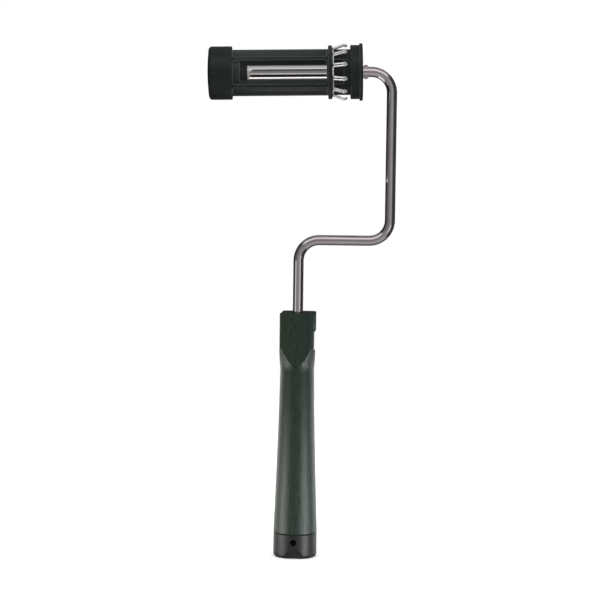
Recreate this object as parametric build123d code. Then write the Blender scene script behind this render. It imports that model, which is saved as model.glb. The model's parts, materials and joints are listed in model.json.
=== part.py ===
from build123d import *
import os
from math import asin, cos, degrees, radians, sin

# Paint roller frame with a turning cage for a short roller cover.
# The origin is the mouth of the pole socket at the handle's lower end. The handle and the
# lower leg of the shank stand along +Z, the shank steps out to +X, and the roller points
# back towards -X. The operator looks at the front, which is the -Y side.
# Sizes are in millimetres and degrees. "Along" sizes of the roller are distances from the
# centre line of the upright leg, measured out towards the nose.

# Shank: one bent round bar.
SHANK_DIAMETER = 7.14
BEND_RADIUS = 14.3
MID_LEG_HEIGHT = 223.1
UPRIGHT_OFFSET = 63.4
ROLLER_HEIGHT = 340.7
ROLLER_DROOP = 1.2
SHANK_TIP_PAST_NUT = 2.4
TIP_CHAMFER = 0.6
EAR_RISE = 1.43
EAR_LENGTH = 4.0
EAR_THICKNESS = 2.6
EAR_GAP = 0.3
ANCHOR_DEPTH = 92.0
ANCHOR_EAR_RISE = 1.93
ANCHOR_EAR_LENGTH = 7.0
ANCHOR_EAR_HEIGHT = 6.0

# Handle.
HANDLE_HEIGHT = 172.2
HANDLE_TURN = -4.5
HEAD_WIDTH = 23.8
HEAD_CORNER_RADIUS = 2.6
HEAD_HEIGHT = 22.0
SHIELD_LENGTH = 18.9
WAIST_DIAMETER = 23.6
FLARE_RADIUS = 20.0
FLARE_ANGLE = 17.6
HEAD_EDGE_ROUND = 0.7
GRIP_STEP = 0.1
GRIP_MIDDLE_DIAMETER = 26.5
GRIP_EDGE_ROUND = 0.7
RIDGE_WIDTH = 0.4
RIDGE_HEIGHT = 0.15
COUNTERSINK_WIDTH = 1.63
COUNTERSINK_DEPTH = 1.6
HANG_BLOCK_REACH = 5.0
HANG_BLOCK_HEIGHT = 13.5
HANG_BLOCK_ROUND = 1.4
HANG_GROOVE_HEIGHT = 15.5
HANG_GROOVE_SLOPE = 3.0
HANG_GROOVE_DEPTH = 1.1
HANG_GROOVE_FRONT = -2.0

# Threaded insert: the exposed collar and the ribbed barrel inside the grip.
COLLAR_HEIGHT = 17.1
COLLAR_WALL = 5.5
COLLAR_MOUTH_ROUND = 2.4
COLLAR_EDGE_ROUND = 0.7
BARREL_LENGTH = 27.0
BARREL_WALL = 1.9
RIB_COUNT = 4
RIB_WIDTH = 2.4
RIB_HEIGHT = 1.2
THREAD_MAJOR_DIAMETER = 19.6
THREAD_PITCH = 5.08
THREAD_DEPTH = 1.3
THREAD_ROOT_WIDTH = 2.3
THREAD_TURNS = 6
THREAD_SINK = 0.15
SOCKET_DEPTH = 32.0
LOCK_HOLE_DIAMETER = 4.4
LOCK_HOLE_HEIGHT = 11.6
RAMP_HEIGHT = 5.8
RAMP_WIDTH = 17.0
RAMP_TOP_WIDTH = 8.0
RAMP_CORNER_ROUND = 2.4
RAMP_MOUTH_DEPTH = 3.2
RAMP_TOP_DEPTH = 1.6

# Cage: a three-bar tube with bulkheads.
CAGE_DIAMETER = 32.1
CAGE_WALL = 1.8
CAGE_START = 24.6
BAR_COUNT = 3
WINDOW_ANGLE = 62.0
WINDOW_START = 45.6
WINDOW_LENGTH = 65.0
WINDOW_CORNER = 1.8
SHORT_WINDOW_START = 33.9
SHORT_WINDOW_LENGTH = 7.6
RAIL_ANGLE = 10.8
RAIL_HEIGHT = 0.5
WEB_THICKNESS = 1.6
WEB_CLEARANCE = 0.4
BULKHEAD_THICKNESS = 2.5
NOSE_BULKHEAD_THICKNESS = 5.6
CAGE_COLLAR_START = 41.8
CAGE_COLLAR_WIDTH = 2.7
CAGE_COLLAR_RISE = 2.55
CAGE_COLLAR_ROUND = 0.4
SPRING_SEAT_STEP = 0.25
SPIGOT_LENGTH = 6.0

# Nose cap and retainer cap.
NOSE_CAP_WALL = 2.4
NOSE_CAP_LENGTH = 17.1
NOSE_CAP_FACE = 2.2
NOSE_CAP_ROUND = 2.4
NOSE_CAP_DOME = 0.9
NOSE_CAP_MOUTH_ROUND = 0.4
RETAINER_START = 20.7
FLANGE_RISE = 1.15
FLANGE_THICKNESS = 2.15
HUB_WALL = 2.9
HUB_LENGTH = 6.25
RETAINER_EDGE_ROUND = 0.4
RETAINER_BORE_CLEARANCE = 0.6

# Bearings, sleeve and retaining parts on the shank.
BEARING_CLEARANCE = 0.06
SLEEVE_CLEARANCE = 0.08
RUNNING_GAP = 0.15
INNER_BEARING_WALL = 3.37
OUTER_BEARING_WALL = 2.37
OUTER_BEARING_REACH = 4.85
BEARING_FLANGE_RISE = 2.0
BEARING_FLANGE_THICKNESS = 1.4
SLEEVE_WALL = 1.5
WASHER_THICKNESS = 1.3
WASHER_RISE = 0.55
TIP_WASHER_WIDTH = 3.93
TIP_WASHER_THICKNESS = 1.0
PUSH_NUT_WIDTH = 2.93
PUSH_NUT_THICKNESS = 0.8
PUSH_NUT_DISH = 0.9
PUSH_NUT_TEETH = 6
PUSH_NUT_SLOT = 0.9
PUSH_NUT_SLOT_REACH = 1.8

# Cover spring: one wire bent into fingers.
WIRE_DIAMETER = 1.3
FINGER_COUNT = 12
FINGER_WIDTH = 3.0
FINGER_TIP = 31.3
FINGER_CREST = 33.7
CREST_RISE = 4.3
TIP_DROP = 0.7
CREST_BEND = 2.0
FOOT_BEND = 1.3
SPRING_SEAT_GAP = 0.1
WIRE_END_GAP = 1.0

# Sizes that follow from the ones above: the shank and what fits round it.
SHANK_RADIUS = SHANK_DIAMETER / 2
EAR_SPAN = SHANK_DIAMETER + 2 * EAR_RISE
ANCHOR_EAR_SPAN = SHANK_DIAMETER + 2 * ANCHOR_EAR_RISE
COUNTERSINK_DIAMETER = SHANK_DIAMETER + 2 * COUNTERSINK_WIDTH
BEARING_BORE_RADIUS = SHANK_RADIUS + BEARING_CLEARANCE
INNER_BEARING_DIAMETER = 2 * (BEARING_BORE_RADIUS + INNER_BEARING_WALL)
OUTER_BEARING_DIAMETER = 2 * (BEARING_BORE_RADIUS + OUTER_BEARING_WALL)
BEARING_FLANGE_DIAMETER = INNER_BEARING_DIAMETER + 2 * BEARING_FLANGE_RISE
SLEEVE_BORE_RADIUS = SHANK_RADIUS + SLEEVE_CLEARANCE
SLEEVE_DIAMETER = 2 * (SLEEVE_BORE_RADIUS + SLEEVE_WALL)
WASHER_DIAMETER = SLEEVE_DIAMETER + 2 * WASHER_RISE
TIP_WASHER_DIAMETER = SHANK_DIAMETER + 2 * TIP_WASHER_WIDTH
PUSH_NUT_DIAMETER = SHANK_DIAMETER + 2 * PUSH_NUT_WIDTH

# The handle, from the pole thread outwards.
THREAD_MAJOR_RADIUS = THREAD_MAJOR_DIAMETER / 2
THREAD_MINOR_RADIUS = THREAD_MAJOR_RADIUS - THREAD_DEPTH
BARREL_DIAMETER = THREAD_MAJOR_DIAMETER + 2 * BARREL_WALL
COLLAR_DIAMETER = THREAD_MAJOR_DIAMETER + 2 * COLLAR_WALL
GRIP_LOWER_DIAMETER = COLLAR_DIAMETER + 2 * GRIP_STEP
HEAD_START = HANDLE_HEIGHT - HEAD_HEIGHT
WAIST_HEIGHT = HEAD_START - SHIELD_LENGTH
ANCHOR_END = HANDLE_HEIGHT - ANCHOR_DEPTH

# The cage and what fits over it.
CAGE_RADIUS = CAGE_DIAMETER / 2
CAGE_BORE_RADIUS = CAGE_RADIUS - CAGE_WALL
CAGE_COLLAR_DIAMETER = CAGE_DIAMETER + 2 * CAGE_COLLAR_RISE
SPRING_SEAT_DIAMETER = CAGE_DIAMETER - 2 * SPRING_SEAT_STEP
NOSE_CAP_DIAMETER = CAGE_DIAMETER + 2 * NOSE_CAP_WALL
HUB_DIAMETER = SPRING_SEAT_DIAMETER + 2 * HUB_WALL
FLANGE_DIAMETER = HUB_DIAMETER + 2 * FLANGE_RISE
CREST_DIAMETER = SPRING_SEAT_DIAMETER + 2 * CREST_RISE
WIRE_RADIUS = WIRE_DIAMETER / 2
BAR_PITCH = 360 / BAR_COUNT
FINGER_PITCH = 360 / FINGER_COUNT

# Places along the roller.
WINDOW_END = WINDOW_START + WINDOW_LENGTH
NOSE_CAP_START = WINDOW_END + RAIL_HEIGHT
NOSE_CAP_END = NOSE_CAP_START + NOSE_CAP_LENGTH
CAGE_END = NOSE_CAP_START + SPIGOT_LENGTH
CAGE_COLLAR_END = CAGE_COLLAR_START + CAGE_COLLAR_WIDTH
RETAINER_END = RETAINER_START + FLANGE_THICKNESS + HUB_LENGTH
FIRST_BULKHEAD = CAGE_START + BEARING_FLANGE_THICKNESS
MIDDLE_BULKHEAD = SHORT_WINDOW_START + SHORT_WINDOW_LENGTH
MIDDLE_BULKHEAD_END = CAGE_COLLAR_END - RAIL_HEIGHT
NOSE_BULKHEAD = NOSE_CAP_START - NOSE_BULKHEAD_THICKNESS
INNER_WASHER_START = MIDDLE_BULKHEAD_END - WASHER_THICKNESS
INNER_BEARING_END = INNER_WASHER_START - RUNNING_GAP
OUTER_BEARING_START = NOSE_BULKHEAD - OUTER_BEARING_REACH
OUTER_BEARING_END = NOSE_CAP_START + BEARING_FLANGE_THICKNESS
SLEEVE_START = INNER_WASHER_START + WASHER_THICKNESS
SLEEVE_END = OUTER_BEARING_START - RUNNING_GAP - WASHER_THICKNESS
TIP_WASHER_START = OUTER_BEARING_END + RUNNING_GAP
PUSH_NUT_START = TIP_WASHER_START + TIP_WASHER_THICKNESS
SHANK_TIP = PUSH_NUT_START + PUSH_NUT_THICKNESS + PUSH_NUT_DISH + SHANK_TIP_PAST_NUT
EAR_CENTRE = RETAINER_START - EAR_GAP - EAR_LENGTH / 2

ON_BASE = (Align.CENTER, Align.CENTER, Align.MIN)
FROM_AXIS = (Align.MIN, Align.CENTER, Align.MIN)
NOSE_DIRECTION = Vector(-cos(radians(ROLLER_DROOP)), 0, -sin(radians(ROLLER_DROOP)))
ROLLER_ORIGIN = Vector(UPRIGHT_OFFSET, 0, ROLLER_HEIGHT)

# The roller's own frame: x to the front, y up, z out along the axis to the nose.
ROLLER_FRAME = Plane(origin=ROLLER_ORIGIN, x_dir=(0, -1, 0), z_dir=NOSE_DIRECTION).location
HANDLE_FRAME = Rot(0, 0, HANDLE_TURN)


def disc(radius, start, end):
    """Solid cylinder on the z axis between two heights."""
    return Pos(0, 0, start) * Cylinder(radius, end - start, align=ON_BASE)


def tube(outer, inner, start, end):
    """Plain tube on the z axis between two heights."""
    return disc(outer, start, end) - disc(inner, start, end)


def ring_sector(inner, outer, start, end, middle, width):
    """Part of a tube, as wide as the given angle and centred on the middle angle."""
    section = Pos((inner + outer) / 2, (start + end) / 2) * Rectangle(outer - inner, end - start)
    return Rot(0, 0, middle - width / 2) * revolve(Plane.XZ * section, Axis.Z, width)


def turned(outline):
    """Solid of revolution about z from a closed outline of (radius, height) points."""
    return revolve(Plane.XZ * make_face(Polyline(*outline, close=True)), Axis.Z)


def edges_at(solid, height, radius):
    """Circular edges of a turned solid at one height and radius."""
    rings = solid.edges().filter_by(GeomType.CIRCLE)
    level = [edge for edge in rings if abs(edge.arc_center.Z - height) < 1e-4]
    return [edge for edge in level if abs(edge.radius - radius) < 1e-4]


def ears(span, length, thickness):
    """Pair of coined ears: a flat bar with round ends, across the shank."""
    outline = SlotOverall(span, length)
    return extrude(Plane.YZ * outline, thickness / 2, both=True)


# ---------------------------------------------------------------- shank and its fittings


def shank():
    """The bent bar with its coined ears at the roller and at the handle anchor."""
    lower_end = Vector(0, 0, ANCHOR_END)
    first_corner = Vector(0, 0, MID_LEG_HEIGHT)
    second_corner = Vector(UPRIGHT_OFFSET, 0, MID_LEG_HEIGHT)
    tip = ROLLER_ORIGIN + NOSE_DIRECTION * SHANK_TIP
    route = FilletPolyline(
        lower_end, first_corner, second_corner, ROLLER_ORIGIN, tip, radius=BEND_RADIUS
    )
    bar = sweep(Plane(lower_end, z_dir=(0, 0, 1)) * Circle(SHANK_RADIUS), path=route)
    end_rings = bar.edges().filter_by(GeomType.CIRCLE)
    tip_rings = [e for e in end_rings if abs((e.arc_center - tip).length) < 1e-3]
    bar = chamfer(tip_rings, TIP_CHAMFER)
    roller_ears = ears(EAR_SPAN, EAR_LENGTH, EAR_THICKNESS)
    bar += ROLLER_FRAME * Pos(0, 0, EAR_CENTRE) * roller_ears
    return bar + anchor_ears()


def anchor_ears():
    """The flattened wings that stop the bar from pulling out of, or turning in, the grip."""
    wings = ears(ANCHOR_EAR_SPAN, ANCHOR_EAR_LENGTH, EAR_THICKNESS)
    return HANDLE_FRAME * Pos(0, 0, ANCHOR_END + ANCHOR_EAR_HEIGHT) * wings


def tip_washer():
    """Plain washer between the nose bearing and the push nut."""
    end = TIP_WASHER_START + TIP_WASHER_THICKNESS
    return tube(TIP_WASHER_DIAMETER / 2, SHANK_RADIUS, TIP_WASHER_START, end)


def push_nut():
    """Dished spring nut pushed on to the tip of the shank, with teeth round its bore."""
    rim = PUSH_NUT_DIAMETER / 2
    knee = (rim + SHANK_RADIUS) / 2 + PUSH_NUT_SLOT
    base = PUSH_NUT_START
    outline = [
        (rim, base),
        (rim, base + PUSH_NUT_THICKNESS),
        (knee, base + PUSH_NUT_THICKNESS),
        (SHANK_RADIUS, base + PUSH_NUT_THICKNESS + PUSH_NUT_DISH),
        (SHANK_RADIUS, base + PUSH_NUT_DISH),
        (knee, base),
    ]
    nut = turned(outline)
    slot_depth = PUSH_NUT_THICKNESS + PUSH_NUT_DISH
    slot = Box(PUSH_NUT_SLOT_REACH * 2, PUSH_NUT_SLOT, slot_depth * 2)
    for index in range(PUSH_NUT_TEETH):
        turn = Rot(0, 0, index * 360 / PUSH_NUT_TEETH)
        nut -= turn * Pos(SHANK_RADIUS, 0, base + slot_depth) * slot
    return nut


# ---------------------------------------------------------------------------- handle


def barrel(length):
    """Ribbed barrel that keys the threaded insert into the grip."""
    body = disc(BARREL_DIAMETER / 2, COLLAR_HEIGHT, COLLAR_HEIGHT + length)
    reach = BARREL_DIAMETER / 2 + RIB_HEIGHT
    rib = Pos(0, 0, COLLAR_HEIGHT) * Box(reach, RIB_WIDTH, length, align=FROM_AXIS)
    for index in range(RIB_COUNT):
        body += Rot(0, 0, (index + 0.5) * 360 / RIB_COUNT) * rib
    return body


def lock_ramp():
    """Flared pocket at the collar's mouth whose sloping floor leads the pole's pin to its hole."""
    collar_radius = COLLAR_DIAMETER / 2
    floor = [
        (collar_radius - RAMP_MOUTH_DEPTH, 0),
        (collar_radius - RAMP_TOP_DEPTH, RAMP_HEIGHT),
        (COLLAR_DIAMETER, RAMP_HEIGHT),
        (COLLAR_DIAMETER, -RAMP_HEIGHT),
        (collar_radius - RAMP_MOUTH_DEPTH, -RAMP_HEIGHT),
    ]
    wedge = extrude(Plane.YZ * make_face(Polyline(*floor, close=True)), RAMP_WIDTH, both=True)
    half_top = RAMP_TOP_WIDTH / 2
    half_low = RAMP_WIDTH - half_top
    flare = Polyline(
        (-half_low, -RAMP_HEIGHT),
        (-half_top, RAMP_HEIGHT),
        (half_top, RAMP_HEIGHT),
        (half_low, -RAMP_HEIGHT),
        close=True,
    )
    mouth = make_face(flare)
    mouth = fillet(mouth.vertices().group_by(Axis.Y)[-1], RAMP_CORNER_ROUND)
    return wedge & extrude(Plane.XZ * mouth, COLLAR_DIAMETER, both=True)


def thread_groove():
    """Helical groove of the pole thread, cut outwards from the socket's minor bore."""
    helix = Helix(THREAD_PITCH, THREAD_PITCH * THREAD_TURNS, THREAD_MINOR_RADIUS)
    crest_width = THREAD_ROOT_WIDTH / 2
    outline = [
        (-THREAD_SINK, -THREAD_ROOT_WIDTH / 2),
        (THREAD_DEPTH, -crest_width / 2),
        (THREAD_DEPTH, crest_width / 2),
        (-THREAD_SINK, THREAD_ROOT_WIDTH / 2),
    ]
    start = Plane(origin=helix @ 0, x_dir=(1, 0, 0), z_dir=helix % 0)
    section = start * make_face(Polyline(*outline, close=True))
    return Pos(0, 0, -THREAD_PITCH / 2) * sweep(section, path=helix, is_frenet=True)


def threaded_insert():
    """Black collar and barrel in one piece, with the threaded pole socket and lock holes."""
    collar_radius = COLLAR_DIAMETER / 2
    collar = disc(collar_radius, 0, COLLAR_HEIGHT)
    collar = fillet(edges_at(collar, 0, collar_radius), COLLAR_MOUTH_ROUND)
    collar = fillet(edges_at(collar, COLLAR_HEIGHT, collar_radius), COLLAR_EDGE_ROUND)
    for side in (0, 180):
        collar -= Rot(0, 0, side) * lock_ramp()
    insert = collar + barrel(BARREL_LENGTH)
    insert -= disc(THREAD_MINOR_RADIUS, 0, SOCKET_DEPTH)
    insert -= thread_groove()
    lock_hole = Rot(90, 0, 0) * Cylinder(LOCK_HOLE_DIAMETER / 2, COLLAR_DIAMETER * 2)
    insert -= Pos(0, 0, LOCK_HOLE_HEIGHT) * lock_hole
    return insert


def grip_outside():
    """Tapered round grip that flares out of its waist into a square head."""
    lower = (GRIP_LOWER_DIAMETER / 2, COLLAR_HEIGHT)
    middle = (GRIP_MIDDLE_DIAMETER / 2, (COLLAR_HEIGHT + WAIST_HEIGHT) / 2)
    side = ThreePointArc(lower, middle, (WAIST_DIAMETER / 2, WAIST_HEIGHT))
    flare = JernArc(side @ 1, side % 1, FLARE_RADIUS, -FLARE_ANGLE)
    flare_end, slope = flare @ 1, flare % 1
    top = flare_end + slope * ((HANDLE_HEIGHT - flare_end.Y) / slope.Y)
    rest = Polyline(flare_end, top, (0, HANDLE_HEIGHT), (0, COLLAR_HEIGHT), lower)
    section = make_face([side, flare, rest])
    lower_corner = section.vertices().sort_by_distance(lower)[0]
    section = fillet(lower_corner, GRIP_EDGE_ROUND)
    turned_body = revolve(Plane.XZ * section, Axis.Z)
    square = RectangleRounded(HEAD_WIDTH, HEAD_WIDTH, HEAD_CORNER_RADIUS)
    limits = extrude(square, HANDLE_HEIGHT) + disc(GRIP_LOWER_DIAMETER, 0, WAIST_HEIGHT)
    return turned_body & limits


def hang_block():
    """Block that carries the top of the head further back, to rest on a bucket's rim."""
    middle = HEAD_WIDTH / 4
    back = HEAD_WIDTH / 2 + HANG_BLOCK_REACH
    underside = HANDLE_HEIGHT - HANG_BLOCK_HEIGHT
    corner = (back, underside)
    outline = Polyline(
        (middle, HANDLE_HEIGHT),
        (back, HANDLE_HEIGHT),
        corner,
        (middle, underside),
        close=True,
    )
    profile = make_face(outline)
    profile = fillet(profile.vertices().sort_by_distance(corner)[0], HANG_BLOCK_ROUND)
    plan = RectangleRounded(HEAD_WIDTH, back * 2, HEAD_CORNER_RADIUS)
    block = extrude(Plane.YZ * profile, HEAD_WIDTH, both=True)
    return block & extrude(plan, HANDLE_HEIGHT)


def hang_groove():
    """Recess round the back and sides of the head below the block, where the rim sits."""
    neck_radius = HEAD_WIDTH / 2 - HANG_GROOVE_DEPTH
    top = HANDLE_HEIGHT - HANG_BLOCK_HEIGHT
    bottom = top - HANG_GROOVE_HEIGHT
    outline = [
        (neck_radius, top),
        (HEAD_WIDTH, top),
        (HEAD_WIDTH, bottom),
        (neck_radius, bottom + HANG_GROOVE_SLOPE),
    ]
    behind = Box(2 * HEAD_WIDTH, 2 * HEAD_WIDTH, HANDLE_HEIGHT, align=ON_BASE)
    return turned(outline) & Pos(0, HANG_GROOVE_FRONT + HEAD_WIDTH, 0) * behind


def grip():
    """Green grip, moulded round the shank and over the insert's barrel."""
    body = grip_outside() + hang_block()
    body = fillet(body.edges().group_by(Axis.Z)[-1], HEAD_EDGE_ROUND)
    ridge_reach = HEAD_WIDTH / 2 + RIDGE_HEIGHT
    ridge = Box(RIDGE_WIDTH, ridge_reach * 2, SHIELD_LENGTH, align=ON_BASE)
    body += Pos(0, 0, WAIST_HEIGHT) * ridge
    body -= hang_groove()
    body -= disc(SHANK_RADIUS, ANCHOR_END, HANDLE_HEIGHT)
    body -= Rot(0, 0, -HANDLE_TURN) * anchor_ears()
    funnel = Cone(
        SHANK_RADIUS, COUNTERSINK_DIAMETER / 2, COUNTERSINK_DEPTH, align=ON_BASE
    )
    body -= Pos(0, 0, HANDLE_HEIGHT - COUNTERSINK_DEPTH) * funnel
    return body - barrel(BARREL_LENGTH)


# ---------------------------------------------------------------------------- cage


def window_cutters(start, length, corner):
    """Round-cornered openings through the cage wall, one between each pair of bars."""
    height = 2 * CAGE_RADIUS * sin(radians(WINDOW_ANGLE / 2))
    outline = RectangleRounded(length, height, corner)
    face = Plane(origin=(0, 0, start + length / 2), x_dir=(0, 0, 1), z_dir=(1, 0, 0)) * outline
    cutter = extrude(face, CAGE_DIAMETER)
    return [Rot(0, 0, index * BAR_PITCH) * cutter for index in range(BAR_COUNT)]


def cage_shell():
    """Outer wall of the cage with its windows and the recess between each bar's rails."""
    shell = tube(CAGE_RADIUS, CAGE_BORE_RADIUS, CAGE_COLLAR_START, CAGE_END)
    shell += tube(SPRING_SEAT_DIAMETER / 2, CAGE_BORE_RADIUS, CAGE_START, CAGE_COLLAR_START)
    recess_width = BAR_PITCH - WINDOW_ANGLE - 2 * RAIL_ANGLE
    for index in range(BAR_COUNT):
        middle = (index + 0.5) * BAR_PITCH
        floor = CAGE_RADIUS - RAIL_HEIGHT
        shell -= ring_sector(floor, CAGE_DIAMETER, WINDOW_START, WINDOW_END, middle, recess_width)
    for cutter in window_cutters(WINDOW_START, WINDOW_LENGTH, WINDOW_CORNER):
        shell -= cutter
    for cutter in window_cutters(SHORT_WINDOW_START, SHORT_WINDOW_LENGTH, WINDOW_CORNER / 2):
        shell -= cutter
    return shell


def cage_webs():
    """Inward fins under the bars, one set along the sleeve and one beside the inner bearing."""
    inner = WASHER_DIAMETER / 2 + WEB_CLEARANCE
    spans = [
        (inner, MIDDLE_BULKHEAD_END, NOSE_BULKHEAD),
        (INNER_BEARING_DIAMETER / 2, FIRST_BULKHEAD, MIDDLE_BULKHEAD),
    ]
    outer = CAGE_BORE_RADIUS + CAGE_WALL / 2
    fins = []
    for reach, start, end in spans:
        web = Box(outer - reach, WEB_THICKNESS, end - start, align=FROM_AXIS)
        for index in range(BAR_COUNT):
            fins.append(Rot(0, 0, (index + 0.5) * BAR_PITCH) * Pos(reach, 0, start) * web)
    return fins


def cage_body():
    """Moulded cage: shell, collar, bulkheads with bearing seats, and fins."""
    collar_radius = CAGE_COLLAR_DIAMETER / 2
    collar = tube(collar_radius, CAGE_BORE_RADIUS, CAGE_COLLAR_START, CAGE_COLLAR_END)
    for height in (CAGE_COLLAR_START, CAGE_COLLAR_END):
        collar = fillet(edges_at(collar, height, collar_radius), CAGE_COLLAR_ROUND)
    inner_seat = INNER_BEARING_DIAMETER / 2
    outer_seat = OUTER_BEARING_DIAMETER / 2
    wall_middle = CAGE_BORE_RADIUS + CAGE_WALL / 2
    first = tube(wall_middle, inner_seat, FIRST_BULKHEAD, FIRST_BULKHEAD + BULKHEAD_THICKNESS)
    middle = tube(wall_middle, inner_seat, MIDDLE_BULKHEAD, MIDDLE_BULKHEAD_END)
    nose = tube(CAGE_BORE_RADIUS, outer_seat, NOSE_BULKHEAD, NOSE_CAP_START)
    body = cage_shell() + collar + first + middle + nose
    for fin in cage_webs():
        body += fin
    return body


def nose_cap():
    """Closed cup over the nose end of the cage, with a slightly domed face."""
    rim = NOSE_CAP_DIAMETER / 2
    flat_end = NOSE_CAP_END - NOSE_CAP_DOME
    side = Polyline((0, NOSE_CAP_START), (rim, NOSE_CAP_START), (rim, flat_end - NOSE_CAP_ROUND))
    face_radius = rim - NOSE_CAP_ROUND
    corner_end = (face_radius, flat_end)
    corner = RadiusArc((rim, flat_end - NOSE_CAP_ROUND), corner_end, -NOSE_CAP_ROUND)
    dome_radius = (face_radius**2 + NOSE_CAP_DOME**2) / (2 * NOSE_CAP_DOME)
    dome_angle = degrees(asin(face_radius / dome_radius))
    dome = JernArc((0, NOSE_CAP_END), (1, 0), dome_radius, -dome_angle)
    spine = Line((0, NOSE_CAP_END), (0, NOSE_CAP_START))
    cup = revolve(Plane.XZ * make_face([side, corner, dome, spine]), Axis.Z)
    cup -= disc(CAGE_RADIUS, NOSE_CAP_START, flat_end - NOSE_CAP_FACE)
    return fillet(edges_at(cup, NOSE_CAP_START, rim), NOSE_CAP_MOUTH_ROUND)


def retainer_cap():
    """Flanged cap over the inboard end of the cage; the cover butts against its flange."""
    flange_end = RETAINER_START + FLANGE_THICKNESS
    flange = disc(FLANGE_DIAMETER / 2, RETAINER_START, flange_end)
    hub = disc(HUB_DIAMETER / 2, RETAINER_START, RETAINER_END)
    for height in (RETAINER_START, flange_end):
        flange = fillet(edges_at(flange, height, FLANGE_DIAMETER / 2), RETAINER_EDGE_ROUND)
    hub = fillet(edges_at(hub, RETAINER_END, HUB_DIAMETER / 2), RETAINER_EDGE_ROUND)
    cap = flange + hub
    cap -= disc(SPRING_SEAT_DIAMETER / 2, CAGE_START, RETAINER_END)
    return cap - disc(SHANK_RADIUS + RETAINER_BORE_CLEARANCE, RETAINER_START, RETAINER_END)


# ------------------------------------------------------------- bearings, sleeve, washers


def inner_bearing():
    """Long plastic bush at the inboard end, flanged against the first bulkhead."""
    body = disc(INNER_BEARING_DIAMETER / 2, CAGE_START, INNER_BEARING_END)
    body += disc(BEARING_FLANGE_DIAMETER / 2, CAGE_START, FIRST_BULKHEAD)
    return body - disc(BEARING_BORE_RADIUS, CAGE_START, INNER_BEARING_END)


def outer_bearing():
    """Plastic bush at the nose end, flanged against the nose bulkhead."""
    body = disc(OUTER_BEARING_DIAMETER / 2, OUTER_BEARING_START, OUTER_BEARING_END)
    body += disc(BEARING_FLANGE_DIAMETER / 2, NOSE_CAP_START, OUTER_BEARING_END)
    return body - disc(BEARING_BORE_RADIUS, OUTER_BEARING_START, OUTER_BEARING_END)


def axle_sleeve():
    """Steel spacer tube that turns freely on the shank between the two bearings."""
    return tube(SLEEVE_DIAMETER / 2, SLEEVE_BORE_RADIUS, SLEEVE_START, SLEEVE_END)


def thrust_washers():
    """One washer at each end of the sleeve."""
    washers = []
    for start in (INNER_WASHER_START, SLEEVE_END):
        end = start + WASHER_THICKNESS
        washers.append(tube(WASHER_DIAMETER / 2, SLEEVE_BORE_RADIUS, start, end))
    return Compound(children=washers)


# ------------------------------------------------------------------------- cover spring


def finger_route():
    """Centre line of one hairpin finger with half of the foot arc on each side of it."""
    foot_radius = SPRING_SEAT_DIAMETER / 2 + SPRING_SEAT_GAP + WIRE_RADIUS
    crest_radius = CREST_DIAMETER / 2 - WIRE_RADIUS
    foot = CAGE_COLLAR_START - WIRE_RADIUS
    tip = FINGER_TIP + WIRE_RADIUS
    half_width = (FINGER_WIDTH - WIRE_DIAMETER) / 2
    foot_angle = degrees(asin((half_width + FOOT_BEND) / foot_radius))
    half_pitch = radians(FINGER_PITCH / 2)
    arc_angle = radians(foot_angle)
    arc_end = Vector(foot_radius * cos(arc_angle), foot_radius * sin(arc_angle), foot)
    arc_start = Vector(foot_radius * cos(half_pitch), foot_radius * sin(half_pitch), foot)
    arc_middle_angle = (half_pitch + arc_angle) / 2
    arc_middle = Vector(
        foot_radius * cos(arc_middle_angle), foot_radius * sin(arc_middle_angle), foot
    )
    left_arc = ThreePointArc(arc_start, arc_middle, arc_end)
    tangent = (left_arc % 1).normalized()
    corner = arc_end + tangent * FOOT_BEND
    leg = [
        corner,
        Vector(crest_radius, half_width, FINGER_CREST),
        Vector(crest_radius - TIP_DROP, half_width, tip),
    ]
    mirrored = [Vector(point.X, -point.Y, point.Z) for point in reversed(leg)]
    points = [arc_end] + leg + mirrored + [Vector(arc_end.X, -arc_end.Y, arc_end.Z)]
    bend = FOOT_BEND * 0.7
    turn = half_width * 0.95
    radii = [bend, CREST_BEND, turn, turn, CREST_BEND, bend]
    finger = FilletPolyline(*points, radius=radii)
    right_arc = mirror(left_arc, about=Plane.XZ)
    return left_arc, finger, right_arc


def cover_spring():
    """Serpentine wire spring: hairpin fingers joined by foot arcs against the collar."""
    left_arc, finger, right_arc = finger_route()
    route = Wire(left_arc.edges() + finger.edges() + right_arc.edges())
    section = Plane(origin=left_arc @ 0, z_dir=left_arc % 0) * Circle(WIRE_RADIUS)
    cell = sweep(section, path=route)
    spring = Rot(0, 0, FINGER_PITCH / 2) * cell
    for index in range(1, FINGER_COUNT):
        spring += Rot(0, 0, (index + 0.5) * FINGER_PITCH) * cell
    cut = Pos(-SPRING_SEAT_DIAMETER / 2, 0, CAGE_COLLAR_START)
    return spring - cut * Box(WIRE_DIAMETER * 4, WIRE_END_GAP, WIRE_DIAMETER * 4)


# --------------------------------------------------------------------------- assembly


def main():
    os.makedirs("parts", exist_ok=True)
    pieces = {
        "shank": shank(),
        "grip": HANDLE_FRAME * grip(),
        "threaded_insert": HANDLE_FRAME * threaded_insert(),
        "tip_washer": ROLLER_FRAME * tip_washer(),
        "push_nut": ROLLER_FRAME * push_nut(),
        "cage_body": ROLLER_FRAME * cage_body(),
        "nose_cap": ROLLER_FRAME * nose_cap(),
        "retainer_cap": ROLLER_FRAME * retainer_cap(),
        "inner_bearing": ROLLER_FRAME * inner_bearing(),
        "outer_bearing": ROLLER_FRAME * outer_bearing(),
        "cover_spring": ROLLER_FRAME * cover_spring(),
        "axle_sleeve": ROLLER_FRAME * axle_sleeve(),
        "thrust_washers": ROLLER_FRAME * thrust_washers(),
    }
    for name, piece in pieces.items():
        export_step(piece, f"parts/{name}.step")


main()
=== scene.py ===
import json
from math import cos, degrees, pi, radians, sin, tan

import bmesh
import bpy
from mathutils import Matrix, Vector


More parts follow.
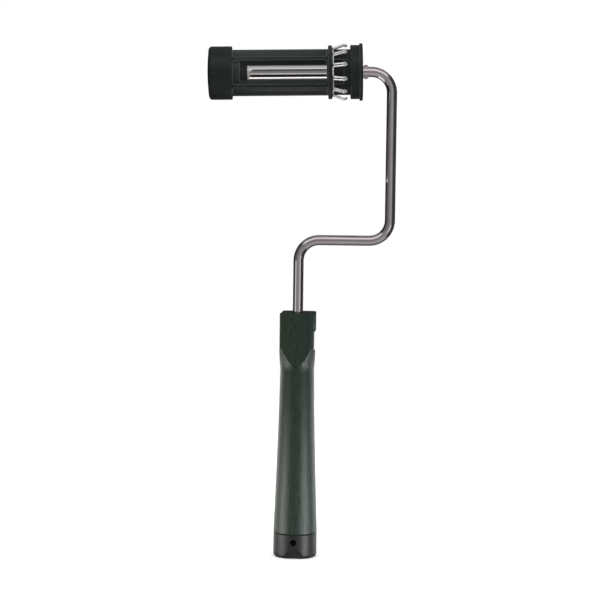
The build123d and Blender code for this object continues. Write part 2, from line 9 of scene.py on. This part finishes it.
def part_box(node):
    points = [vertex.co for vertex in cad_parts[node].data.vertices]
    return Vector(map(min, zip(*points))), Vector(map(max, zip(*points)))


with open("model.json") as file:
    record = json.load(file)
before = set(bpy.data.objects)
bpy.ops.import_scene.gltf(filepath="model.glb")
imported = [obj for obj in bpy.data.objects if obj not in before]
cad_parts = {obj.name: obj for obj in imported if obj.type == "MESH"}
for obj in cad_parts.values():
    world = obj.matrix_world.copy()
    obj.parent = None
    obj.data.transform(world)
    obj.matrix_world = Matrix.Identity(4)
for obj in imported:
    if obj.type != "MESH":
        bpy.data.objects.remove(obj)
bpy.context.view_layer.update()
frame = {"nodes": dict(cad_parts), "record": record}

# A short paint roller frame: plated rod, open turning cage with a wire spring, green handle.
# All lengths are in metres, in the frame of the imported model.

FLOOR_RADIUS = 0.9
FLOOR_CORNERS = 128
LENS = 130.26
FURTHEST_SEEN = 50
VIEW_DISTANCE = 1.54
VIEW_PITCH = radians(4.5)
VIEW_ROLL = radians(0.75)
VIEW_TARGET = Vector((0.0042, 0, 0.1782))

# What polished surfaces see: brightness by angle in degrees from the camera's side of the room.
ROUND_SIDES = [
    (-180, 0.03), (-165, 0.04), (-148, 0.03), (-105, 0.03), (-84, 0.10), (-57, 0.16), (-35, 0.22),
    (-14, 0.32), (6, 0.44), (27, 0.40), (45, 0.11), (72, 0.03), (92, 0.06), (112, 0.08),
    (130, 0.04), (165, 0.04), (180, 0.03),
]
OVER_AND_UNDER = [
    (-180, 0.04), (-150, 0.1), (-110, 0.12), (-90, 0.25), (-72, 0.35), (-56, 0.48), (-32, 0.5),
    (-17, 0.30), (-6, 0.24), (9, 0.19), (20, 0.32), (33, 0.8), (50, 1.1), (64, 0.95), (78, 0.28),
    (100, 0.24), (125, 0.26), (150, 0.2), (165, 0.06), (180, 0.04),
]
CORNER_BLEND = 0.12

# What dull surfaces see: brightness by height, from straight down to straight up.
UNDER_TO_OVER = [(-1, 0.5), (-0.1, 0.5), (0.25, 1.2), (1, 1.3)]
WHITE = (1.0, 1.0, 1.0)

# Panels over and under the roller.
PANEL_OVERHANG = 0.004
UNDER_PANEL_DEPTH = 0.045
UNDER_PANEL_FORWARD = -0.008
UNDER_PANEL_DROP = 0.07
UNDER_PANEL_BRIGHTNESS = 1.35
OVER_PANEL_DEPTH = 0.05
OVER_PANEL_FORWARD = 0.003
OVER_PANEL_RISE = 0.075
OVER_PANEL_BRIGHTNESS = 0.35

# Name, lowest and highest angle seen from the roller's axis, and brightness of each card.
CARD_DISTANCE = 0.04
CARDS = [
    ("upper_card", 17, 52, 0.10),
    ("middle_card", -23, -10, 0.60),
    ("lower_card", -72, -29, 0.01),
]

# Name, bearing, distance, spread, lowest and highest point, brightness, and the nodes it lights.
HANDLE_NODES = ("grip", "threaded_insert")
NEAR_PANELS = [
    ("handle_left", -72, 0.25, 32, -0.05, 0.050, 10.5, HANDLE_NODES),
    ("handle_right", 53, 0.25, 17, -0.05, 0.050, 24.0, HANDLE_NODES),
    ("handle_left_back", -135, 0.25, 44, -0.05, 0.150, 1.8, HANDLE_NODES),
    ("handle_right_back", 128, 0.25, 52, -0.05, 0.125, 2.2, HANDLE_NODES),
    ("leg_left", -60, 0.30, 30, 0.140, 0.195, 0.7, ("shank",)),
    ("leg_right", 42, 0.30, 18, 0.140, 0.195, 0.8, ("shank",)),
    ("spring_front", -42, 0.18, 44, 0.320, 0.400, 3.4, ("cover_spring",)),
]

# Where finishes change: painted highlights on the roller's edges, painted light inside the roller
# and painted light tints on the grip's two sides.
BEVEL_SAMPLES = 6
EDGE_HIGHLIGHT_FULL_MATCH, EDGE_HIGHLIGHT_END_MATCH = 0.90, 0.995
INSIDE_LIGHT_FULL_RADIUS, INSIDE_LIGHT_END_RADIUS = 0.0142, 0.0156
GRIP_HALF_WIDTH = 0.012
SIDE_LIGHT_TINT = 0.4


# ----------------------------------------------------------------------- finish, in nodes


class Finish:
    """A procedural material under construction: one Principled shader and the nodes that feed it."""

    def __init__(self, name):
        self.material = bpy.data.materials.new(name)
        self.material.use_nodes = True
        self.tree = self.material.node_tree
        self.shader = self.tree.nodes["Principled BSDF"]
        self.place = self.tree.nodes.new("ShaderNodeTexCoord").outputs["Object"]

    def set(self, **sockets):
        """Sets the shader's own sockets, with spaces written as underscores."""
        for name, value in sockets.items():
            self.shader.inputs[name.replace("_", " ")].default_value = value
        return self

    def link(self, output, socket):
        self.tree.links.new(output, socket)

    def stretched(self, scale, turn=(0, 0, 0), shift=(0, 0, 0)):
        """Object coordinates, moved, turned and scaled, so that a pattern can run along a part."""
        mapping = self.tree.nodes.new("ShaderNodeMapping")
        mapping.vector_type = "TEXTURE"
        self.link(self.place, mapping.inputs["Vector"])
        mapping.inputs["Location"].default_value = shift
        mapping.inputs["Rotation"].default_value = turn
        mapping.inputs["Scale"].default_value = scale
        return mapping.outputs["Vector"]

    def noise(self, vector, scale, detail=3.0, roughness=0.5):
        node = self.tree.nodes.new("ShaderNodeTexNoise")
        self.link(vector, node.inputs["Vector"])
        node.inputs["Scale"].default_value = scale
        node.inputs["Detail"].default_value = detail
        node.inputs["Roughness"].default_value = roughness
        return node.outputs["Fac"]

    def ranged(self, value, low, high, from_low=0.3, from_high=0.7):
        """Maps a pattern's middle range on to new limits."""
        node = self.tree.nodes.new("ShaderNodeMapRange")
        self.link(value, node.inputs["Value"])
        node.inputs["From Min"].default_value = from_low
        node.inputs["From Max"].default_value = from_high
        node.inputs["To Min"].default_value = low
        node.inputs["To Max"].default_value = high
        return node.outputs["Result"]

    def sum(self, first, second):
        node = self.tree.nodes.new("ShaderNodeMath")
        node.operation = "ADD"
        self.link(first, node.inputs[0])
        self.link(second, node.inputs[1])
        return node.outputs["Value"]

    def colours(self, value, stops):
        """Colours the surface by a pattern; stops are (position, colour) pairs."""
        node = self.tree.nodes.new("ShaderNodeValToRGB")
        self.link(value, node.inputs["Fac"])
        ramp = node.color_ramp
        ramp.elements[0].position, ramp.elements[0].color = stops[0][0], (*stops[0][1], 1)
        ramp.elements[1].position, ramp.elements[1].color = stops[-1][0], (*stops[-1][1], 1)
        for position, colour in stops[1:-1]:
            ramp.elements.new(position).color = (*colour, 1)
        self.link(node.outputs["Color"], self.shader.inputs["Base Color"])
        return self

    def painted_inside_light(self, inside_light_colour):
        """Blends a paler colour in where the surface is well inside the roller's outer radius:
        painted light standing in for light on the roller's shaded inside.
        """
        low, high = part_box("cage_body")
        axis_height = (low[2] + high[2]) / 2
        shifted = self.tree.nodes.new("ShaderNodeVectorMath")
        shifted.operation = "SUBTRACT"
        self.link(self.place, shifted.inputs[0])
        shifted.inputs[1].default_value = (0, 0, axis_height)
        flat = self.tree.nodes.new("ShaderNodeVectorMath")
        flat.operation = "MULTIPLY"
        self.link(shifted.outputs[0], flat.inputs[0])
        flat.inputs[1].default_value = (0, 1, 1)
        radius = self.tree.nodes.new("ShaderNodeVectorMath")
        radius.operation = "LENGTH"
        self.link(flat.outputs[0], radius.inputs[0])
        share = self.ranged(radius.outputs["Value"], 1, 0, INSIDE_LIGHT_FULL_RADIUS, INSIDE_LIGHT_END_RADIUS)
        return self.recolour(share, inside_light_colour)

    def recolour(self, share, colour):
        """Blends one more colour over the base colour by a share between none and all."""
        mix = self.tree.nodes.new("ShaderNodeMix")
        mix.data_type = "RGBA"
        factor, first, second = mix.inputs[0], mix.inputs[6], mix.inputs[7]
        base = self.shader.inputs["Base Color"]
        self.link(share, factor)
        self.link(base.links[0].from_socket, first)
        second.default_value = (*colour, 1)
        self.link(mix.outputs[2], base)
        return self

    def painted_edge_highlights(self, width, colour):
        """Paints a paler colour on to edges, where the rounded normal leaves the true one: a painted
        highlight.
        """
        rounded = self.tree.nodes.new("ShaderNodeBevel")
        rounded.samples = BEVEL_SAMPLES
        rounded.inputs["Radius"].default_value = width
        true = self.tree.nodes.new("ShaderNodeNewGeometry")
        match = self.tree.nodes.new("ShaderNodeVectorMath")
        match.operation = "DOT_PRODUCT"
        self.link(rounded.outputs["Normal"], match.inputs[0])
        self.link(true.outputs["Normal"], match.inputs[1])
        share = self.ranged(match.outputs["Value"], 1, 0, EDGE_HIGHLIGHT_FULL_MATCH, EDGE_HIGHLIGHT_END_MATCH)
        return self.recolour(share, colour)

    def roughness(self, value):
        self.link(value, self.shader.inputs["Roughness"])
        return self

    def bump(self, value, depth, strength=1.0, edge=None):
        """Raises the surface by a pattern; depth and the softening of edges are in metres."""
        node = self.tree.nodes.new("ShaderNodeBump")
        if edge:
            softened = self.tree.nodes.new("ShaderNodeBevel")
            softened.samples = BEVEL_SAMPLES
            softened.inputs["Radius"].default_value = edge
            self.link(softened.outputs["Normal"], node.inputs["Normal"])
        node.inputs["Strength"].default_value = strength
        node.inputs["Distance"].default_value = depth
        self.link(value, node.inputs["Height"])
        self.link(node.outputs["Normal"], self.shader.inputs["Normal"])
        return self


# ------------------------------------------------------------------------------- finishes


def plated_rod():
    """Bright plated bar with a soft bloom in the plating."""
    finish = Finish("plated_rod").set(Metallic=1.0)
    bloom = finish.noise(finish.stretched((0.03, 0.03, 0.03)), 1.0, 4.0)
    finish.colours(bloom, [(0.3, (0.62, 0.56, 0.575)), (0.7, (0.70, 0.645, 0.66))])
    finish.roughness(finish.ranged(bloom, 0.08, 0.14))
    return finish.material


def rolled_steel():
    """Bright steel tube with fine lines along the roller's axis."""
    finish = Finish("rolled_steel").set(Metallic=1.0)
    lines = finish.noise(finish.stretched((0.05, 0.0004, 0.0004)), 1.0, 3.0)
    finish.colours(lines, [(0.3, (0.70, 0.675, 0.665)), (0.7, (0.82, 0.795, 0.785))])
    finish.roughness(finish.ranged(lines, 0.07, 0.15))
    finish.bump(lines, 0.00001, 0.2)
    return finish.material


def turned_washer():
    """Bright plain washer with a finely brushed rim."""
    finish = Finish("turned_washer").set(Metallic=1.0)
    brushing = finish.noise(finish.stretched((0.0003, 0.004, 0.004)), 1.0, 3.0)
    finish.colours(brushing, [(0.3, (0.88, 0.87, 0.86)), (0.7, (0.97, 0.96, 0.95))])
    finish.roughness(finish.ranged(brushing, 0.45, 0.60))
    finish.bump(brushing, 0.00001, 0.2)
    return finish.material


def spring_wire():
    """Bright drawn wire with slight dull patches."""
    finish = Finish("spring_wire").set(Metallic=1.0)
    patches = finish.noise(finish.place, 900.0, 3.0)
    finish.colours(patches, [(0.3, (0.86, 0.87, 0.87)), (0.7, (0.97, 0.97, 0.97))])
    finish.roughness(finish.ranged(patches, 0.24, 0.40))
    finish.bump(patches, 0.00002, 0.3)
    return finish.material


def zinc_plate():
    """Dull zinc plating with a blue-grey cast."""
    finish = Finish("zinc_plate").set(Metallic=1.0)
    patches = finish.noise(finish.place, 500.0, 4.0)
    finish.colours(patches, [(0.3, (0.45, 0.47, 0.50)), (0.7, (0.62, 0.63, 0.65))])
    finish.roughness(finish.ranged(patches, 0.28, 0.45))
    finish.bump(patches, 0.00002, 0.3)
    return finish.material


def moulded_grip():
    """Dark green satin grip with fine flow lines and painted light tints: olive on the left side and
    blue-green on the right.
    """
    finish = Finish("moulded_grip").set(Specular_IOR_Level=0.34, IOR=1.49)
    flow = finish.noise(finish.stretched((0.0007, 0.0007, 0.012)), 1.0, 4.0, 0.6)
    grain = finish.noise(finish.stretched((0.0005, 0.0005, 0.0011)), 1.0, 2.0, 0.5)
    streaks = finish.sum(flow, grain)
    finish.colours(streaks, [(0.75, (0.002, 0.0085, 0.0035)), (1.25, (0.013, 0.025, 0.016))])
    sides = finish.tree.nodes.new("ShaderNodeSeparateXYZ")
    finish.link(finish.place, sides.inputs["Vector"])
    # Painted light tints: the left side blends towards olive and the right towards blue-green,
    # standing in for the tint of the side lights.
    left = finish.ranged(sides.outputs["X"], SIDE_LIGHT_TINT, 0, -GRIP_HALF_WIDTH, 0)
    right = finish.ranged(sides.outputs["X"], 0, SIDE_LIGHT_TINT, 0, GRIP_HALF_WIDTH)
    finish.recolour(left, (0.018, 0.027, 0.007))
    finish.recolour(right, (0.005, 0.017, 0.020))
    finish.roughness(finish.ranged(streaks, 0.28, 0.48, 0.8, 1.2))
    finish.bump(streaks, 0.00015, 0.9)
    return finish.material


def moulded_collar():
    """Black collar and socket: harder and slightly glossier than the grip."""
    finish = Finish("moulded_collar").set(Specular_IOR_Level=0.34, IOR=1.5)
    marks = finish.noise(finish.stretched((0.006, 0.006, 0.0012)), 1.0, 4.0)
    grain = finish.noise(finish.place, 2800.0, 2.0)
    finish.colours(marks, [(0.3, (0.007, 0.007, 0.0075)), (0.7, (0.013, 0.013, 0.0135))])
    finish.roughness(finish.ranged(marks, 0.38, 0.52))
    finish.bump(grain, 0.00005, 0.3)
    return finish.material


def cage_nylon():
    """Satin black nylon with lines drawn by the mould, painted highlights on its edges and painted
    light on its inside.
    """
    finish = Finish("cage_nylon").set(Specular_IOR_Level=0.28, IOR=1.53)
    drawn = finish.noise(finish.stretched((0.03, 0.0012, 0.0012)), 1.0, 4.0)
    grain = finish.noise(finish.place, 2400.0, 3.0)
    finish.colours(drawn, [(0.3, (0.006, 0.010, 0.0085)), (0.7, (0.011, 0.0165, 0.014))])
    # Painted light: a paler colour where the surface lies well inside the roller, where it is
    # shaded.
    finish.painted_inside_light((0.026, 0.033, 0.028))
    # Painted highlight: a paler colour along every edge of the cage.
    finish.painted_edge_highlights(0.0005, (0.16, 0.19, 0.165))
    finish.roughness(finish.ranged(drawn, 0.34, 0.50))
    finish.bump(finish.sum(drawn, grain), 0.00006, 0.4, edge=0.0004)
    return finish.material


def bearing_plastic():
    """Dull brown-black bush material."""
    finish = Finish("bearing_plastic").set(Specular_IOR_Level=0.4, IOR=1.5)
    mottle = finish.noise(finish.place, 700.0, 4.0)
    finish.colours(mottle, [(0.3, (0.020, 0.016, 0.013)), (0.7, (0.033, 0.027, 0.022))])
    finish.roughness(finish.ranged(mottle, 0.45, 0.6))
    finish.bump(mottle, 0.00004, 0.3)
    return finish.material


# The finish of each material slot, and of the one node that differs from its slot.
SLOT_FINISHES = {
    "plated_rod": plated_rod,
    "green_grip": moulded_grip,
    "black_insert": moulded_collar,
    "cage_nylon": cage_nylon,
    "bearing_plastic": bearing_plastic,
    "spring_wire": spring_wire,
    "sleeve_steel": rolled_steel,
    "zinc_fittings": zinc_plate,
}
NODE_FINISHES = {"thrust_washers": turned_washer}


def dress_nodes():
    """Gives every node of the model its own finish, or else that of its material slot."""
    made = {slot: make() for slot, make in SLOT_FINISHES.items()}
    for subpart in frame["record"]["subparts"]:
        name = subpart["node"]
        node = frame["nodes"][name]
        node.data.materials.clear()
        special = NODE_FINISHES.get(name)
        node.data.materials.append(special() if special else made[subpart["material_slot"]])


# -------------------------------------------------------------------------------- studio


class Room:
    """The world under construction, with the nodes that shade it by direction."""

    def __init__(self, name):
        self.world = bpy.data.worlds.new(name)
        self.world.use_nodes = True
        self.world.cycles.sampling_method = "NONE"
        self.tree = self.world.node_tree
        self.tree.nodes.clear()
        direction = self.make("ShaderNodeTexCoord").outputs["Generated"]
        parts = self.make("ShaderNodeSeparateXYZ")
        self.link(direction, parts.inputs["Vector"])
        self.x, self.y, self.z = parts.outputs
        self.path = self.make("ShaderNodeLightPath")

    def make(self, kind):
        return self.tree.nodes.new(kind)

    def link(self, output, socket):
        self.tree.links.new(output, socket)

    def maths(self, operation, first, second):
        """One sum on two values, each of them a number or another node's output."""
        node = self.make("ShaderNodeMath")
        node.operation = operation
        for socket, value in zip(node.inputs, (first, second)):
            if isinstance(value, (int, float)):
                socket.default_value = value
            else:
                self.link(value, socket)
        return node.outputs["Value"]

    def mix(self, share, first, second):
        """Blend of two colours, each of them another node's output or a plain colour."""
        node = self.make("ShaderNodeMix")
        node.data_type = "RGBA"
        factor, first_socket, second_socket = node.inputs[0], node.inputs[6], node.inputs[7]
        self.link(share, factor)
        for socket, colour in ((first_socket, first), (second_socket, second)):
            if isinstance(colour, tuple):
                socket.default_value = (*colour, 1)
            else:
                self.link(colour, socket)
        return node.outputs[2]

    def angle(self, sideways):
        """Angle in degrees from the camera's side of the room, round towards one axis."""
        forward = self.maths("MULTIPLY", self.y, -1)
        return self.maths("MULTIPLY", self.maths("ARCTAN2", sideways, forward), degrees(1))

    def ramp(self, value, low, high, stops):
        """Brightness by a value between two limits; stops are (value, brightness) pairs."""
        spread = self.make("ShaderNodeMapRange")
        self.link(value, spread.inputs["Value"])
        spread.inputs["From Min"].default_value = low
        spread.inputs["From Max"].default_value = high
        node = self.make("ShaderNodeValToRGB")
        self.link(spread.outputs["Result"], node.inputs["Fac"])
        places = [(at - low) / (high - low) for at, _ in stops]
        elements = node.color_ramp.elements
        elements[0].position, elements[1].position = places[0], places[-1]
        for place in places[1:-1]:
            elements.new(place)
        for element, (_, level) in zip(elements, stops):
            element.color = (level, level, level, 1)
        return node.outputs["Color"]


def studio_surround():
    """White to the camera, patches of light to polished surfaces, a soft gradient to the rest."""
    room = Room("studio")
    bpy.context.scene.world = room.world
    round_sides = room.ramp(room.angle(room.x), -180, 180, ROUND_SIDES)
    overhead = room.ramp(room.angle(room.z), -180, 180, OVER_AND_UNDER)
    upward = room.maths("ABSOLUTE", room.z, 0)
    sideways = room.maths("ABSOLUTE", room.x, 0)
    share = room.make("ShaderNodeMapRange")
    share.interpolation_type = "SMOOTHSTEP"
    room.link(room.maths("SUBTRACT", upward, sideways), share.inputs["Value"])
    share.inputs["From Min"].default_value = -CORNER_BLEND
    share.inputs["From Max"].default_value = CORNER_BLEND
    seen = room.mix(share.outputs["Result"], round_sides, overhead)
    height = room.ramp(room.z, -1, 1, UNDER_TO_OVER)
    glossy = room.path.outputs["Is Glossy Ray"]
    camera_ray = room.path.outputs["Is Camera Ray"]
    shown = room.mix(camera_ray, room.mix(glossy, height, seen), WHITE)
    background = room.make("ShaderNodeBackground")
    room.link(shown, background.inputs["Color"])
    output = room.make("ShaderNodeOutputWorld")
    room.link(background.outputs["Background"], output.inputs["Surface"])


def flat_panel(name, length, depth, place, turn, brightness):
    """Level light panel along the roller, facing down, or up when turned over."""
    light = bpy.data.lights.new(name, "AREA")
    light.shape = "RECTANGLE"
    light.size, light.size_y = length, depth
    light.energy = brightness * pi * length * depth
    holder = bpy.data.objects.new(name, light)
    bpy.context.scene.collection.objects.link(holder)
    holder.matrix_world = Matrix.Translation(place) @ Matrix.Rotation(turn, 4, "X")
    holder.visible_camera = False


def roller_panels():
    """One panel under the roller for the sleeve's lower side and one over it for the bars' edges."""
    low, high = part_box("axle_sleeve")
    middle = (low[0] + high[0]) / 2
    length = high[0] - low[0] + 2 * PANEL_OVERHANG
    below = Vector((middle, UNDER_PANEL_FORWARD, low[2] - UNDER_PANEL_DROP))
    flat_panel("under_roller", length, UNDER_PANEL_DEPTH, below, pi, UNDER_PANEL_BRIGHTNESS)
    above = Vector((middle, OVER_PANEL_FORWARD, high[2] + OVER_PANEL_RISE))
    flat_panel("over_roller", length, OVER_PANEL_DEPTH, above, 0, OVER_PANEL_BRIGHTNESS)


def roller_card(name, lowest, highest, level):
    """Plain card in front of the roller, seen only in reflections, for a band in the sleeve."""
    low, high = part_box("axle_sleeve")
    axis_height = (low[2] + high[2]) / 2
    shape = bmesh.new()
    corners = []
    for x, angle in ((low[0], lowest), (high[0], lowest), (high[0], highest), (low[0], highest)):
        turn = radians(angle)
        place = (x, -CARD_DISTANCE * cos(turn), axis_height + CARD_DISTANCE * sin(turn))
        corners.append(shape.verts.new(place))
    shape.faces.new(corners)
    mesh = bpy.data.meshes.new(name)
    shape.to_mesh(mesh)
    shape.free()
    card = bpy.data.objects.new(name, mesh)
    bpy.context.scene.collection.objects.link(card)
    finish = Finish(name).set(Roughness=1.0, Specular_IOR_Level=0.0, Emission_Strength=1.0)
    shade = finish.noise(finish.place, 30.0)
    finish.colours(shade, [(0.3, (0.0, 0.0, 0.0)), (0.7, (0.001, 0.001, 0.001))])
    finish.set(Emission_Color=(level, level, level, 1))
    mesh.materials.append(finish.material)
    card.visible_camera = False
    card.visible_diffuse = False
    card.visible_shadow = False


def near_panel(floor, name, bearing, distance, spread, low, high, brightness, lit_nodes):
    """Small panel beside the tool that lights its own nodes and the floor; angles in degrees."""
    turn = radians(bearing)
    width = 2 * distance * tan(radians(spread / 2))
    height = high - low
    light = bpy.data.lights.new(name, "AREA")
    light.shape = "RECTANGLE"
    light.size, light.size_y = width, height
    light.energy = brightness * pi * width * height
    holder = bpy.data.objects.new(name, light)
    bpy.context.scene.collection.objects.link(holder)
    place = Vector((distance * sin(turn), -distance * cos(turn), (low + high) / 2))
    aim = Vector((-place.x, -place.y, 0))
    facing = aim.to_track_quat("-Z", "Y").to_matrix().to_4x4()
    holder.matrix_world = Matrix.Translation(place) @ facing
    holder.visible_camera = False
    lit = bpy.data.collections.new(name)
    lit.objects.link(floor)
    for node in lit_nodes:
        lit.objects.link(frame["nodes"][node])
    holder.light_linking.receiver_collection = lit


def pale_floor():
    """Round white table top under the handle."""
    mesh = bpy.data.meshes.new("floor")
    shape = bmesh.new()
    bmesh.ops.create_circle(shape, cap_ends=True, segments=FLOOR_CORNERS, radius=FLOOR_RADIUS)
    shape.to_mesh(mesh)
    shape.free()
    floor = bpy.data.objects.new("floor", mesh)
    bpy.context.scene.collection.objects.link(floor)
    finish = Finish("floor_white").set(Roughness=1.0, Specular_IOR_Level=0.0)
    shade = finish.noise(finish.place, 6.0)
    finish.colours(shade, [(0.3, (0.97, 0.97, 0.97)), (0.7, (0.99, 0.99, 0.99))])
    mesh.materials.append(finish.material)
    floor.visible_glossy = False
    floor.visible_diffuse = False
    floor.visible_shadow = False
    return floor


def camera():
    """Long lens in front of the tool, a little above its middle and almost level."""
    data = bpy.data.cameras.new("view")
    data.lens = LENS
    data.clip_end = FURTHEST_SEEN
    holder = bpy.data.objects.new("view", data)
    bpy.context.scene.collection.objects.link(holder)
    back = Vector((0, -cos(VIEW_PITCH), sin(VIEW_PITCH)))
    turn = (-back).to_track_quat("-Z", "Y").to_matrix().to_4x4()
    roll = Matrix.Rotation(VIEW_ROLL, 4, "Z")
    holder.matrix_world = Matrix.Translation(VIEW_TARGET + back * VIEW_DISTANCE) @ turn @ roll
    bpy.context.scene.camera = holder


def studio():
    """Room, floor, panels, cards and camera; the cage stays out of the sleeve's reflections."""
    bpy.context.scene.view_settings.view_transform = "Standard"
    studio_surround()
    floor = pale_floor()
    for panel in NEAR_PANELS:
        near_panel(floor, *panel)
    roller_panels()
    for card in CARDS:
        roller_card(*card)
    frame["nodes"]["cage_body"].visible_glossy = False
    camera()


dress_nodes()
studio()
